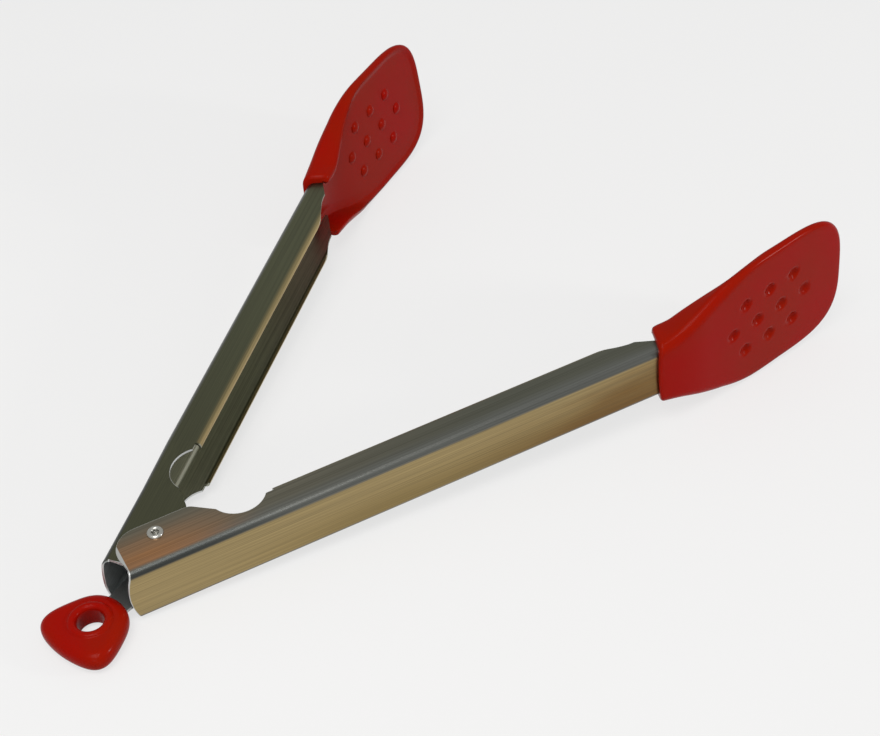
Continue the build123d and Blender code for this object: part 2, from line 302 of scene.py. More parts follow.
# Painted reflection on the flanges, from the tone at the ears to the tone further along.
def flange_reflection_tone(along, height, stains_and_sheen, flange, rear, reflection_share):
    tone = along.clamped(*REAR_TO_FLANGE).mixed(rear, flange)
    # Painted slate reflection by the bend, on the outer arm only.
    tone = ((1 - height.clamped(*SLATE_BAND)) * reflection_share).mixed(tone, BEND_SLATE_REFLECTION)
    # Painted copper glint beside the rivet, in patches, on the outer arm only.
    low = height.clamped(*GLINT_FOOT) * (1 - height.clamped(*GLINT_HEAD))
    glint = (1 - along.clamped(*GLINT_ALONG)) * low * (GLINT_EVEN + GLINT_PATCHES * stains_and_sheen)
    tone = (glint * reflection_share).mixed(tone, COPPER_GLINT)
    # Painted beige reflection on the curled edge past the handle's start, weaker on the outer arm.
    curl_sheen = height.clamped(*CURL_BAND) * along.clamped(*HANDLE_FROM) * (1 - LESS_CURL_REFLECTION * reflection_share)
    return curl_sheen.mixed(tone, CURL_REFLECTION)


print("the bloom fades out", GLINT_ALONG[1], "mm in front of the rivet")

# %% [markdown]
# The inside of the channel gets its own tone, a painted light that lifts the shade the channel
# casts on itself, browner towards the tip end. The sheet is bent, so the distance from the bend's
# centre tells the two sides apart. The inner arm's ears are pressed in to nest between the outer
# ones, which moves that centre. Inside the rear end, little light arrives: the steel there has a
# pale grey painted light and is less metallic, so that it takes up soft light.

# %% Brushed steel
BRUSH_LINES = (14, 2600, 2600)
BRUSH_RANGE = (0.25, 0.8)
BRUSH_SHADE = 0.4
STAIN_AND_SHEEN_SCALE = (14, 90, 90)
STAIN_AND_SHEEN_RANGE = (0.35, 0.7)
BEND_CENTRE = (8.3, -11.3)
BEND_ALONG = (5, 60)
BEND_DROP = (0.4, 1.6)
SHEET_MIDDLE = (2.4, 2.75)
WALL_DROP = (2.5, 2.85)
WALL_SIDE = (0.3, 1.5)
JOG_START = 20.0
JOG_END = 43.0
EAR_JOG = 0.9
CURL_FOOT = (-3.6, -2.9)
BROWN_ALONG = (110, 185)
CAVE_ALONG = (14, 18)
CAVE_DULLNESS = 0.7
# Share of the outer arm's painted reflections: slate by the bend, the copper glint and less beige
# on the curl.
REFLECTION_SHARE = 0.95
STEEL_ROUGHNESS = 0.26
LINE_ROUGHNESS = 0.12
STAIN_ROUGHNESS = 0.06


def brushed_steel(name, angle, inward, flange, rear, reflection_share, nested):
    material, shader, place = new_finish(name)
    turned = place.node(
        "ShaderNodeMapping", None, {"Vector": from_pivot(place), "Rotation": (0, 0, -angle)}
    )
    along, height, across = sheet_place(turned, inward)
    lines = place.node("ShaderNodeMapping", None, {"Vector": turned, "Scale": BRUSH_LINES})
    brushing = place.noise(lines, scale=1.0, detail=3.0)
    patches = place.node("ShaderNodeMapping", None, {"Vector": turned, "Scale": STAIN_AND_SHEEN_SCALE})
    stains_and_sheen = place.noise(patches, scale=1.0, detail=4.0).clamped(*STAIN_AND_SHEEN_RANGE)

    jog = positive((JOG_END - along) / (JOG_END - JOG_START))
    aside = across.maths("ABSOLUTE", across, 0.0) + nested * jog.maths("MINIMUM", jog, 1.0)
    side = positive(aside - BEND_CENTRE[0])
    drop = positive(BEND_CENTRE[1] - height)
    outside = distance(side, drop).clamped(*SHEET_MIDDLE)
    curl = along.clamped(*HANDLE_FROM) * height.clamped(*CURL_FOOT)
    inside = (1 - outside) * (1 - curl)
    cave = inside * (1 - along.clamped(*CAVE_ALONG))
    wall = drop.clamped(*WALL_DROP) * (1 - side.clamped(*WALL_SIDE)) * outside

    # Painted reflection under the bend: dark near the pivot, lighter further along.
    under = along.clamped(*BEND_ALONG).mixed(BEND_DARK_REFLECTION, BEND_REFLECTION)
    # Painted light inside the channel, browner towards the tip end.
    inside_light = along.clamped(*BROWN_ALONG).mixed(INSIDE_PAINTED_LIGHT, INSIDE_BROWN_PAINTED_LIGHT)
    tone = flange_reflection_tone(along, height, stains_and_sheen, flange, rear, reflection_share)
    tone = drop.clamped(*BEND_DROP).mixed(tone, under)
    tone = inside.mixed(tone, inside_light)
    # Painted light in the shaded rear end, where the steel is also made less metallic.
    tone = cave.mixed(tone, CAVE_PAINTED_LIGHT)
    # Painted warm reflection on the outside of the back wall.
    tone = wall.mixed(tone, wall_reflection_tone(along, across, stains_and_sheen))
    tone = (brushing.clamped(*BRUSH_RANGE) * BRUSH_SHADE).mixed(tone, DARK_LINE)
    # Painted highlight along the cut edges.
    tone = cut_edge_highlights(along, height, across).mixed(tone, CUT_EDGE_HIGHLIGHT)
    feed(shader, "Base Color", tone)
    feed(shader, "Metallic", 1 - CAVE_DULLNESS * cave)
    roughness = STEEL_ROUGHNESS + LINE_ROUGHNESS * brushing + STAIN_ROUGHNESS * stains_and_sheen
    feed(shader, "Roughness", roughness)
    add_bump(shader, brushing, strength=0.12, distance=0.05 * MM)
    return material


arm_steels = {
    "outer": brushed_steel(
        "brushed_steel_outer",
        angle=-HALF_ANGLE,
        inward=1,
        flange=OUTER_FLANGE_REFLECTION,
        rear=OUTER_REAR_REFLECTION,
        reflection_share=REFLECTION_SHARE,
        nested=0.0,
    ),
    "inner": brushed_steel(
        "brushed_steel_inner",
        angle=HALF_ANGLE,
        inward=-1,
        flange=INNER_FLANGE_REFLECTION,
        rear=INNER_REAR_REFLECTION,
        reflection_share=0.0,
        nested=EAR_JOG,
    ),
}
print("arm finishes:", len(arm_steels))

# %% [markdown]
# The rivet is turned and rolled over, so its marks run round the pivot. The distance from the
# pivot's axis drives a fine ring pattern. The spring's wire is drawn and only a little duller.

# %% Rivet, spring and plate steel
RING_RATE = 9000
RING_ROUGHNESS = 0.08
WEAR_SCALE = 900.0
WEAR_ROUGHNESS = 0.1
TARNISH = (0.25, 0.24, 0.22)
TARNISH_SHARE = 0.5


def ringed_steel(name, colour, roughness):
    material, shader, place = new_finish(name)
    shader.inputs["Metallic"].default_value = 1.0
    flat = place.node(
        "ShaderNodeVectorMath", {"operation": "MULTIPLY"}, {0: from_pivot(place), 1: (1, 1, 0)}
    )
    away = place.node("ShaderNodeVectorMath", {"operation": "LENGTH"}, {0: flat}, output=1)
    turns = away * RING_RATE
    rings = turns.maths("SINE", turns, 0) * 0.5 + 0.5
    wear = place.noise(place, scale=WEAR_SCALE, detail=3.0)
    feed(shader, "Base Color", (wear * TARNISH_SHARE).mixed(colour, TARNISH))
    feed(shader, "Roughness", roughness + RING_ROUGHNESS * rings + WEAR_ROUGHNESS * wear)
    add_bump(shader, rings + wear, strength=0.08, distance=0.04 * MM)
    return material


rivet_steel = ringed_steel("rivet_steel", (0.52, 0.52, 0.50), roughness=0.20)
spring_steel = ringed_steel("spring_steel", (0.52, 0.51, 0.49), roughness=0.26)
plate_steel = ringed_steel("plate_steel", (0.43, 0.44, 0.45), roughness=0.24)
print("turned finishes ready")

# %% [markdown]
# Silicone is a soft red rubber with a satin skin. It is never one flat red: the mould leaves the
# surface slightly uneven, and handling polishes some places more than others. Two noises give
# the colour and the gloss, and a very fine one gives the skin its grain.

# %% Red silicone and the bush's black plastic
CLOUD_SCALE = 28.0
CLOUD_RANGE = (0.3, 0.7)
POLISH_SCALE = 75.0
POLISH_ROUGHNESS = 0.16
SKIN_SCALE = 2400.0
SKIN_ROUGHNESS = 0.06
RED = (0.305, 0.003, 0.001)
DEEP_RED = (0.27, 0.008, 0.001)
BLACK = (0.018, 0.018, 0.018)
WORN_BLACK = (0.03, 0.03, 0.03)


def moulded_rubber(name, colour, deep, grain, roughness, gloss):
    material, shader, place = new_finish(name)
    cloud = place.noise(place, scale=CLOUD_SCALE, detail=3.0).clamped(*CLOUD_RANGE)
    polish = place.noise(place, scale=POLISH_SCALE, detail=4.0)
    skin = place.noise(place, scale=SKIN_SCALE, detail=2.0)
    feed(shader, "Base Color", cloud.mixed(colour, deep))
    feed(shader, "Roughness", roughness + POLISH_ROUGHNESS * polish + SKIN_ROUGHNESS * skin)
    shader.inputs["Specular IOR Level"].default_value = gloss
    add_bump(shader, skin + polish, strength=grain, distance=0.06 * MM)
    return material


silicone = moulded_rubber(
    "red_silicone", RED, DEEP_RED, grain=0.05, roughness=0.10, gloss=0.045
)
black_plastic = moulded_rubber(
    "black_plastic", BLACK, WORN_BLACK, grain=0.15, roughness=0.40, gloss=0.4
)
print("rubber finishes ready")

# %% [markdown]
# The CAD nodes whose shape is right only get a better finish in their material slots.


# %% Finishes of the CAD pieces
def dress(name, material):
    slots = nodes[name].data.materials
    slots.clear()
    slots.append(material)


dress("outer_arm", arm_steels["outer"])
dress("inner_arm", arm_steels["inner"])
dress("pivot_rivet", rivet_steel)
dress("lock_plate", plate_steel)
dress("spring_bush", black_plastic)
print("dressed CAD nodes: 5")

# %% [markdown]
# A tip is a shallow tray of silicone, moulded over the end of its arm. Seen from its back it has a
# paddle outline: the sides flare out of the channel's width and the end is a blunt oval. Every
# section square to that outline has the same parts, from the middle of the back out to the edge,
# up the side, over the rim and down to the floor. So the mesh is one grid: sections along the
# outline, and the same number of points on each section. A station below is a place along the
# arm, the half width there and its slope.

# %% Outline of a tip
TIP_START = 192.5
TIP_END = 284.0
SIDE_STATIONS = [
    (TIP_START, 14.3, 0.20),
    (204.0, 17.5, 0.42),
    (215.0, 22.2, 0.42),
    (234.0, 27.8, 0.14),
    (252.5, 28.3, 0.0),
]
TIP_WIDEST, TIP_HALF_WIDTH = SIDE_STATIONS[-1][:2]
BASE_HALF_WIDTH = SIDE_STATIONS[0][1]
END_ROUNDNESS = 3.3
MOUTH_FADE = 18.0
SIDE_POINTS = 100
END_POINTS = 60
NUDGE = 0.01


def eased(start, end, first, last, first_slope, last_slope, x):
    run = end - start
    t = (x - start) / run
    value = (2 * t**3 - 3 * t**2 + 1) * first + (3 * t**2 - 2 * t**3) * last
    value += ((t**3 - 2 * t**2 + t) * first_slope + (t**3 - t**2) * last_slope) * run
    return value


def side_half_width(x):
    for (start, first, first_slope), (end, last, last_slope) in zip(
        SIDE_STATIONS, SIDE_STATIONS[1:]
    ):
        if x <= end:
            return eased(start, end, first, last, first_slope, last_slope, x)
    return TIP_HALF_WIDTH


def half_outline():
    places = []
    for step in range(SIDE_POINTS):
        x = TIP_START + (TIP_WIDEST - TIP_START) * step / SIDE_POINTS
        slope = (side_half_width(x + NUDGE) - side_half_width(x)) / NUDGE
        slope *= min(1.0, (x - TIP_START) / MOUTH_FADE)
        places.append((Vector((x, side_half_width(x))), Vector((-slope, 1)).normalized()))
    power = 2 / END_ROUNDNESS
    length = TIP_END - TIP_WIDEST
    for step in range(END_POINTS + 1):
        turn = pi / 2 * step / END_POINTS
        across = max(0.0, cos(turn)) ** power
        ahead = max(0.0, sin(turn)) ** power
        outward = Vector((
            ahead ** (END_ROUNDNESS - 1) / length,
            across ** (END_ROUNDNESS - 1) / TIP_HALF_WIDTH,
        ))
        place = Vector((TIP_WIDEST + length * ahead, TIP_HALF_WIDTH * across))
        places.append((place, outward.normalized()))
    return places


print("outline points on half a tip:", len(half_outline()))

# %% [markdown]
# The heights follow straight lines along the tip: the back and the floor both bend towards the
# other arm where the steel core bends. The rim is high beside the channel's flanges, falls in a
# curve and then follows the floor round the end.

# %% Heights of a tip's surfaces
TIP_BEND = 205.0
TIP_BEND_EASE = 9.0
BACK = -16.1
BACK_SLOPE = 0.2309
TRAY = -11.7
TRAY_END = 4.3
TRAY_SLOPE = (TRAY_END - TRAY) / (TIP_END - TIP_BEND)
RIM_BASE = -3.0
RIM_BASE_SLOPE = 0.15
RIM_FLAT_FROM = 240.0
RIM_HEIGHT = 0.5


def bent(x):
    past = x - TIP_BEND
    if abs(past) < TIP_BEND_EASE:
        return (past + TIP_BEND_EASE) ** 2 / (4 * TIP_BEND_EASE)
    return max(0.0, past)


def back_height(x):
    return BACK + bent(x) * BACK_SLOPE


def tray_height(x):
    return TRAY + bent(x) * TRAY_SLOPE


def rim_height(x, base):
    if x >= RIM_FLAT_FROM:
        return tray_height(x) + RIM_HEIGHT
    end = tray_height(RIM_FLAT_FROM) + RIM_HEIGHT
    return eased(TIP_START, RIM_FLAT_FROM, base, end, RIM_BASE_SLOPE, TRAY_SLOPE, x)


end_thickness = rim_height(TIP_END, RIM_BASE) - back_height(TIP_END)
print("edge thickness at the end:", round(end_thickness, 2), "mm")

# %% [markdown]
# On the back, a dimple lies behind each gripping bump, in rows of three, four and three. Each is a
# bowl with a thin lip. They are deep enough to be real geometry, because a bump in the material
# alone would vanish at the edge and in the exported mesh.

# %% Dimples in the back
BUMP_FIRST = 227.0
BUMP_PITCH = 12.4
BUMP_ROW_STEP = 11.2
BUMP_ROWS = ((-1, 3), (0, 4), (1, 3))
LONGEST_ROW = 4
DIMPLE_RADIUS = 2.8
DIMPLE_DEPTH = 1.6
DIMPLE_LIP_REACH = 1.25
DIMPLE_LIP_SHARE = 0.08
BUMP_PLACES = [
    (BUMP_FIRST + BUMP_PITCH * (step + (LONGEST_ROW - count) / 2), BUMP_ROW_STEP * row)
    for row, count in BUMP_ROWS
    for step in range(count)
]


def dimple(x, z):
    deep = 0.0
    for along, across in BUMP_PLACES:
        away = sqrt((x - along) ** 2 + (z - across) ** 2) / DIMPLE_RADIUS
        if away < DIMPLE_LIP_REACH:
            bowl = max(0.0, 1 - away**2)
            lip = (DIMPLE_LIP_REACH - away) ** 2 * DIMPLE_LIP_SHARE
            deep = max(deep, DIMPLE_DEPTH * (bowl + lip))
    return deep


print("dimples on a tip:", len(BUMP_PLACES))

# %% [markdown]
# The sleeve at the base of a tip isn't cut square. Its mouth slants from the back to the rim, its
# side leans in towards the rim, and its cheeks aren't equally high. The two tips differ in this, so
# each has its own numbers, first for the cheek at negative z and then for the other.

# %% Mouth of the sleeve
Sleeve = namedtuple("Sleeve", "slants leans bases")
SLEEVES = {
    "outer": Sleeve(slants=(3.5, 3.5), leans=(2.2, 2.2), bases=(RIM_BASE, RIM_BASE)),
    "inner": Sleeve(slants=(3.8, -1.5), leans=(2.2, 0.0), bases=(-5.6, RIM_BASE)),
}
LEAN_STATIONS = (TIP_START, 204.0, 220.0, 246.0)
MOUTH_LIP = 1.0


def lean_share(x):
    start, first, last, end = LEAN_STATIONS
    if x <= last:
        return eased(start, first, 0, 1, 0, 0, min(x, first))
    return eased(last, end, 1, 0, 0, 0, min(x, end))


def slanted(point, slants):
    rise = max(0.0, point.y - BACK) / (RIM_BASE - BACK)
    near = max(0.0, 1 - (point.x - TIP_START) / MOUTH_FADE) ** 2
    share = min(1.0, max(0.0, 0.5 + 0.5 * point.z / BASE_HALF_WIDTH))
    slant = slants[0] + (slants[1] - slants[0]) * share
    lip = MOUTH_LIP * max(0.0, 1 - rise) ** 2 * max(0.0, 1 - (point.z / BASE_HALF_WIDTH) ** 2)
    return Vector((point.x + (slant * rise - lip) * near, point.y, point.z))


print("sleeves:", sorted(SLEEVES))

# %% [markdown]
# A section runs from the middle of the back to the middle of the floor. Near the base the sections
# shrink by a small step at a time, which rounds the sleeve's mouth where the arm comes out.

# %% One section of a tip
EDGE_ROUND = 3.8
EDGE_ROUND_SHARE = 0.5
RIM_ROUND = 2.4
RIM_ROUND_SHARE = 0.4
RIM_FLAT_AT_BASE = 3.1
RIM_FLAT_AT_END = 1.5
WALL_FOOT = 4.1
BORDER = 8.2
BACK_POINTS = 34
BORDER_POINTS = 4
ROUND_POINTS = 6
WALL_POINTS = 10


def softened(t):
    return t * t * (3 - 2 * t)


def tip_section(place, outward, side, shrink, sleeve):
    base = sleeve.bases[side > 0]
    lean = sleeve.leans[side > 0] * lean_share(place.x)
    thick = rim_height(place.x, base) - back_height(place.x) - 2 * shrink
    edge_round = min(EDGE_ROUND, EDGE_ROUND_SHARE * thick)
    rim_round = min(RIM_ROUND, RIM_ROUND_SHARE * thick)
    before = min(place.x, RIM_FLAT_FROM)
    flat_to = eased(TIP_START, RIM_FLAT_FROM, RIM_FLAT_AT_BASE, RIM_FLAT_AT_END, 0, 0, before)
    middle = Vector((min(place.x, TIP_WIDEST), 0))
    border = place - outward * BORDER
    points = []

    def put(spot, height):
        points.append(Vector((spot.x, height, spot.y * side)))

    def put_back(spot):
        put(spot, back_height(spot.x) + shrink + dimple(spot.x, spot.y))

    for step in range(BACK_POINTS):
        put_back(middle.lerp(border, step / BACK_POINTS))
    for step in range(BORDER_POINTS):
        put_back(place - outward * (BORDER + (edge_round + shrink - BORDER) * step / BORDER_POINTS))
    for step in range(ROUND_POINTS + 1):
        turn = pi / 2 * step / ROUND_POINTS
        spot = place - outward * (shrink + edge_round * (1 - sin(turn)))
        put(spot, back_height(spot.x) + shrink + edge_round * (1 - cos(turn)))
    for step in range(ROUND_POINTS + 1):
        turn = pi / 2 * step / ROUND_POINTS
        spot = place - outward * (shrink + lean + rim_round * (1 - cos(turn)))
        put(spot, rim_height(spot.x, base) - shrink - rim_round * (1 - sin(turn)))
    for step in range(WALL_POINTS + 1):
        t = step / WALL_POINTS
        spot = place - outward * (lean + flat_to - shrink + (WALL_FOOT - flat_to) * t)
        top = rim_height(spot.x, base) - shrink
        foot = tray_height(spot.x) - shrink
        put(spot, top * (1 - softened(t)) + foot * softened(t))
    for step in range(BACK_POINTS + 1):
        spot = border.lerp(middle, step / BACK_POINTS)
        put(spot, tray_height(spot.x) - shrink)
    return [slanted(point, sleeve.slants) for point in points]


sample = tip_section(*half_outline()[SIDE_POINTS // 2], 1, 0.0, SLEEVES["outer"])
print("points on a section:", len(sample))

# %% [markdown]
# Rows of points become a skin of four-sided faces between each row and the next. A tip is open at
# both ends of its run, so its ends are closed and its doubles merged where the halves' middle lines
# meet. The pull tab further down is a ring, whose last row joins the first. The normals are set
# once the skin is closed.

# %% A skin over rows of points
MERGE_WITHIN = 2e-6
FLAT_WITHIN = 1e-7


def close_ends(shell, rows):
    for row in (rows[0], rows[-1]):
        shell.faces.new(row)
    bmesh.ops.remove_doubles(shell, verts=shell.verts, dist=MERGE_WITHIN)
    bmesh.ops.dissolve_degenerate(shell, edges=shell.edges, dist=FLAT_WITHIN)
    bmesh.ops.triangulate(shell, faces=[face for face in shell.faces if len(face.verts) > 4])


def skinned(name, sections, place, ring):
    shell = bmesh.new()
    rows = [[shell.verts.new(place @ point) for point in points] for points in sections]
    if ring:
        rows = [[*row, row[0]] for row in rows]
        rows.append(rows[0])
    for row, following in zip(rows, rows[1:]):
        for step in range(len(row) - 1):
            shell.faces.new((row[step], row[step + 1], following[step + 1], following[step]))
    if not ring:
        close_ends(shell, rows)
    bmesh.ops.recalc_face_normals(shell, faces=shell.faces)
    for face in shell.faces:
        face.smooth = True
    mesh = bpy.data.meshes.new(name)
    shell.to_mesh(mesh)
    shell.free()
    return placed_object(name, mesh)


print("skin ready")

# %% [markdown]
# The mouth starts with a few sections that grow to full size and so round its end. The paddle of
# the inner tip is rolled a few degrees about its own length, as soft tips end up in use, and the
# roll grows between two places along the arm.

# %% Silicone tips
MOUTH_ROUND = 1.1
MOUTH_POINTS = 4
TWISTS = {"outer": 0.0, "inner": radians(-4.4)}
TWIST_FROM = 197.0
TWIST_TO = 226.0


def twist(arm, x):
    share = min(1.0, max(0.0, (x - TWIST_FROM) / (TWIST_TO - TWIST_FROM)))
    turn = Matrix.Rotation(TWISTS[arm] * softened(share), 4, (1, BACK_SLOPE, 0))
    middle = Matrix.Translation((TIP_BEND, TRAY, 0))
    return middle @ turn @ middle.inverted()


def moulded_tip(arm):
    outline = half_outline()
    first, first_outward = outline[0]
    run = []
    for step in range(MOUTH_POINTS, 0, -1):
        turn = pi / 2 * step / MOUTH_POINTS
        place = first + Vector((MOUTH_ROUND * (1 - sin(turn)), 0))
        run.append((place, first_outward, MOUTH_ROUND * (1 - cos(turn))))
    run += [
        (place, outward, 0.0) for place, outward in outline if place.x > TIP_START + MOUTH_ROUND
    ]
    sections = [
        tip_section(place, outward, side, shrink, SLEEVES[arm])
        for side, half in ((1, run), (-1, run[-2::-1]))
        for place, outward, shrink in half
    ]
    sections = [[twist(arm, point.x) @ point for point in section] for section in sections]
    return skinned(arm + "_silicone_tip", sections, ARM_FRAMES[arm], ring=False)


for arm in ("outer", "inner"):
    tip = moulded_tip(arm)
    tip.data.materials.append(silicone)
    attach(tip, arm + "_jaw")
    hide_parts(arm + "_tip")
    print(tip.name, "faces:", len(tip.data.polygons))

# %% [markdown]
# Geometry Nodes make what repeats. Two helpers keep the trees short: one starts a tree with its
# named inputs, and one ends it by making real geometry of it, smoothing it and giving it a finish.
# A third runs a tree and keeps the result as a plain mesh.


# %% Start, end and use of a Geometry Nodes tree
def new_tree(name, inputs):
    tree = bpy.data.node_groups.new(name, "GeometryNodeTree")
    tree.interface.new_socket("Geometry", in_out="OUTPUT", socket_type="NodeSocketGeometry")
    made = {
        label: tree.interface.new_socket(label, in_out="INPUT", socket_type="NodeSocket" + kind)
        for label, kind in inputs.items()
    }
    keys = {label: socket.identifier for label, socket in made.items()}
    entry = tree.nodes.new("NodeGroupInput")
    return tree, keys, {label: Socket(tree, entry.outputs[label]) for label in inputs}


def end_tree(geometry, finish):
    whole = geometry.node("GeometryNodeRealizeInstances", None, {"Geometry": geometry})
    smooth = geometry.node("GeometryNodeSetShadeSmooth", None, {"Geometry": whole})
    dressed = geometry.node(
        "GeometryNodeSetMaterial", None, {"Geometry": smooth, "Material": finish}
    )
    leave = geometry.tree.nodes.new("NodeGroupOutput")
    geometry.tree.links.new(dressed.socket, leave.inputs[0])


def grown(name, tree, keys, values, place):
    maker = placed_object(name + "_maker", bpy.data.meshes.new(name + "_maker"))
    modifier = maker.modifiers.new("maker", "NODES")
    modifier.node_group = tree
    for key, value in values.items():
        modifier[keys[key]] = value
    depsgraph = bpy.context.evaluated_depsgraph_get()
    mesh = bpy.data.meshes.new_from_object(maker.evaluated_get(depsgraph), depsgraph=depsgraph)
    bpy.data.objects.remove(maker)
    mesh.transform(place)
    return placed_object(name, mesh)


print("tree helpers ready")

# %% [markdown]
# The gripping bumps repeat in rows of three, four and three, so Geometry Nodes place them: three
# lines of points, and on each point the cap of a sphere. The caps are realised and turned into a
# plain mesh that rides on the tip's arm.

# %% A tree that places caps in rows
CAP_INPUTS = ("Pitch", "Row Step", "First", "Floor", "Slope", "Ball", "Cap")
BALL_DIVISIONS = 40
CAP_SKIRT = 1.35


def rows_of_points(tree, value):
    join = tree.nodes.new("GeometryNodeJoinGeometry")
    pitch = value["Pitch"]
    for row, count in BUMP_ROWS:
        first = value["First"] + pitch * ((LONGEST_ROW - count) / 2)
        start = pitch.node(
            "ShaderNodeCombineXYZ", None, {"X": first, "Y": 0.0, "Z": value["Row Step"] * row}
        )
        step = pitch.node("ShaderNodeCombineXYZ", None, {"X": pitch})
        line = pitch.node(
            "GeometryNodeMeshLine",
            {"mode": "OFFSET"},
            {"Count": count, "Start Location": start, "Offset": step},
        )
        tree.links.new(line.socket, join.inputs[0])
    along = pitch.node(
        "ShaderNodeSeparateXYZ", None, {0: pitch.node("GeometryNodeInputPosition")}
    )
    height = value["Floor"] + (along - TIP_BEND) * value["Slope"]
    lift = pitch.node("ShaderNodeCombineXYZ", None, {"Y": height - value["Ball"] + value["Cap"]})
    return pitch.node(
        "GeometryNodeSetPosition",
        None,
        {"Geometry": Socket(tree, join.outputs[0]), "Offset": lift},
    )


def ball_cap(radius, cap):
    ball = radius.node(
        "GeometryNodeMeshUVSphere",
        None,
        {"Segments": BALL_DIVISIONS, "Rings": BALL_DIVISIONS, "Radius": radius},
    )
    height = radius.node(
        "ShaderNodeSeparateXYZ", None, {0: radius.node("GeometryNodeInputPosition")}, output=2
    )
    low = radius.node(
        "FunctionNodeCompare",
        {"data_type": "FLOAT", "operation": "LESS_THAN"},
        {"A": height, "B": radius - cap * CAP_SKIRT},
    )
    return radius.node(
        "GeometryNodeDeleteGeometry",
        {"domain": "POINT"},
        {"Geometry": ball, "Selection": low},
    )


def rows_of_caps():
    kinds = {name: "Float" for name in CAP_INPUTS}
    tree, keys, value = new_tree("rows_of_caps", {**kinds, "Finish": "Material"})
    points = rows_of_points(tree, value)
    caps = points.node(
        "GeometryNodeInstanceOnPoints",
        None,
        {
            "Points": points,
            "Instance": ball_cap(value["Ball"], value["Cap"]),
            "Rotation": (-pi / 2, 0, 0),
        },
    )
    end_tree(caps, value["Finish"])
    return tree, keys


cap_tree, cap_keys = rows_of_caps()
print("inputs of the tree for the bumps:", len(cap_keys))

# %% Gripping bumps on both tips
BUMP_RADIUS = 2.7
BUMP_CAP = 1.15
for arm in ("outer", "inner"):
    bumps = grown(
        arm + "_bumps",
        cap_tree,
        cap_keys,
        {
            "Pitch": BUMP_PITCH,
            "Row Step": BUMP_ROW_STEP,
            "First": BUMP_FIRST,
            "Floor": TRAY,
            "Slope": TRAY_SLOPE,
            "Ball": (BUMP_RADIUS**2 + BUMP_CAP**2) / (2 * BUMP_CAP),
            "Cap": BUMP_CAP,
            "Finish": silicone,
        },
        ARM_FRAMES[arm] @ twist(arm, TIP_END),
    )
    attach(bumps, arm + "_jaw")
    print(bumps.name, "faces:", len(bumps.data.polygons))

# %% [markdown]
# The pull tab is a puffy rounded triangle with a hanging hole. Rays from the hole's axis meet the
# outline, and each ray carries one section: up the hole's wall, over the bead round its rim, across
# the top and round the edge. The lower half mirrors the upper one.

# %% Outline of the pull tab
TAB_FRONT = 12.85
TAB_FRONT_HALF = 8.44
TAB_CORNER = -10.0
TAB_CORNER_HALF = 18.46
TAB_REAR = -14.7
TAB_SOFTNESS = 3.85
FAR_OUT = 99.0
NEARLY_ALONG = 1e-6


def tab_reach(turn):
    way = Vector((cos(turn), abs(sin(turn))))
    front = TAB_FRONT / way.x if way.x > NEARLY_ALONG else FAR_OUT
    slant = Vector((TAB_FRONT - TAB_CORNER, TAB_CORNER_HALF - TAB_FRONT_HALF))
    normal = Vector((slant.y, slant.x)).normalized()
    facing = normal.dot(way)
    corner = normal.dot(Vector((TAB_FRONT, TAB_FRONT_HALF)))
    side = corner / facing if facing > NEARLY_ALONG else FAR_OUT
    bow = (TAB_CORNER_HALF**2 + (TAB_CORNER - TAB_REAR) ** 2) / (2 * (TAB_CORNER - TAB_REAR))
    middle = TAB_REAR + bow
    across = way.x * middle
    rear = across + sqrt(max(0.0, bow**2 - middle**2 + across**2))
    summed = sum(reach**-TAB_SOFTNESS for reach in (front, side, rear))
    return summed ** (-1 / TAB_SOFTNESS)


print("tab reach to the rear:", round(tab_reach(pi), 2), "mm")

# %% Silicone pull tab
HOLE_RADIUS = 4.9
HOLE_POINTS = 4
BEAD_MIDDLE = 6.6
BEAD_RADIUS = 1.7
BEAD_HEIGHT = 3.0
BEAD_ARC = 150
BEAD_POINTS = 14
TAB_HALF_THICKNESS = 4.0
TAB_TOP_POINTS = 8
TAB_EDGE_SOFT = 4.2
TAB_EDGE_LEAST_TOP = 0.6
TAB_EDGE_POWER = 0.9
TAB_EDGE_POINTS = 12
RAYS = 160


def tab_section(turn):
    way = Vector((cos(turn), sin(turn), 0))
    reach = tab_reach(turn)
    half = [(HOLE_RADIUS, BEAD_HEIGHT * step / HOLE_POINTS) for step in range(HOLE_POINTS)]
    for step in range(BEAD_POINTS + 1):
        tilt = radians(180 - BEAD_ARC * step / BEAD_POINTS)
        half.append((
            BEAD_MIDDLE + BEAD_RADIUS * cos(tilt),
            BEAD_HEIGHT + BEAD_RADIUS * sin(tilt),
        ))
    start, start_height = half[-1]
    soft = min(TAB_EDGE_SOFT, reach - start - TAB_EDGE_LEAST_TOP)
    for step in range(1, TAB_TOP_POINTS + 1):
        t = step / TAB_TOP_POINTS
        sink = (start_height - TAB_HALF_THICKNESS) * (1 - t) ** 2
        half.append((start + (reach - soft - start) * t, TAB_HALF_THICKNESS + sink))
    for step in range(1, TAB_EDGE_POINTS + 1):
        tilt = pi / 2 * step / TAB_EDGE_POINTS
        half.append((
            reach - soft + soft * sin(tilt) ** TAB_EDGE_POWER,
            TAB_HALF_THICKNESS * max(0.0, cos(tilt)) ** TAB_EDGE_POWER,
        ))
    section = [way * out + Vector((0, 0, up)) for out, up in half]
    section += [way * out - Vector((0, 0, up)) for out, up in reversed(half[1:-1])]
    return section


tab_sections = [tab_section(2 * pi * step / RAYS) for step in range(RAYS)]
tab = skinned("silicone_pull_tab", tab_sections, Matrix.Scale(MM, 4), ring=True)
tab.data.materials.append(silicone)
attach(tab, "lock")
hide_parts("pull_tab")
print(tab.name, "faces:", len(tab.data.polygons))

# %% [markdown]
# The torsion spring sits on the pivot between the ears. Its coil follows a rule, so Geometry Nodes
# sweep a round wire along its path. The coil turns by half of what the jaws turn, and each leg
# stays with its own arm, so the legs are pieces of their own that start with a short stretch of
# the coil.

